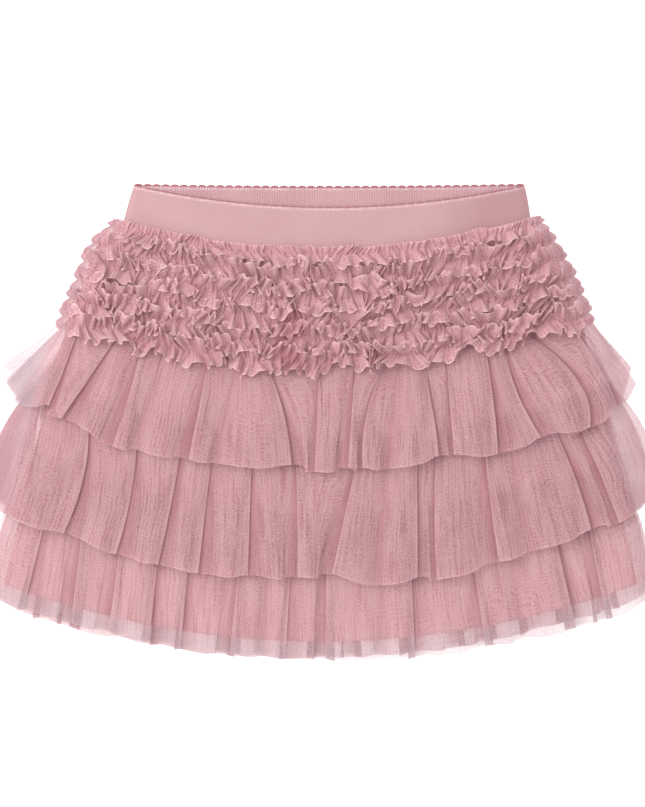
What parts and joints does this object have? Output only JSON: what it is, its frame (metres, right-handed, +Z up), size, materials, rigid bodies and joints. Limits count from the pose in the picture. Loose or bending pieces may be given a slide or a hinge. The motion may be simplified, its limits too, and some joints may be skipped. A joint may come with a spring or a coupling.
{
  "type": "tulle skirt",
  "caption": "Toddler's skirt laid flat: an elastic waistband, a yoke of gathered ruffle rows and lapped tulle tiers over a knit base skirt.",
  "frame": {"origin": "middle of the footprint, on the surface that the skirt lies on", "axes": "+X across the skirt to the right as seen from above, +Y from the hem to the waist, +Z up"},
  "size_m": [0.3472, 0.2469, 0.0181],
  "materials": {
    "band_elastic": "matte",
    "base_knit": "matte",
    "tulle": "matte"
  },
  "bodies": {
    "root": {"waistband_front": "band_elastic", "waistband_back": "band_elastic", "base_front": "base_knit", "base_back": "base_knit", "ruffle_front_1": "tulle", "ruffle_front_2": "tulle", "ruffle_front_3": "tulle", "ruffle_front_4": "tulle", "ruffle_front_5": "tulle", "ruffle_front_6": "tulle", "ruffle_back_1": "tulle", "ruffle_back_2": "tulle", "ruffle_back_3": "tulle", "ruffle_back_4": "tulle", "ruffle_back_5": "tulle", "ruffle_back_6": "tulle", "tier_1_front": "tulle", "tier_2_front": "tulle", "tier_3_front": "tulle", "tier_1_back": "tulle", "tier_2_back": "tulle", "tier_3_back": "tulle"}
  },
  "joints": []
}
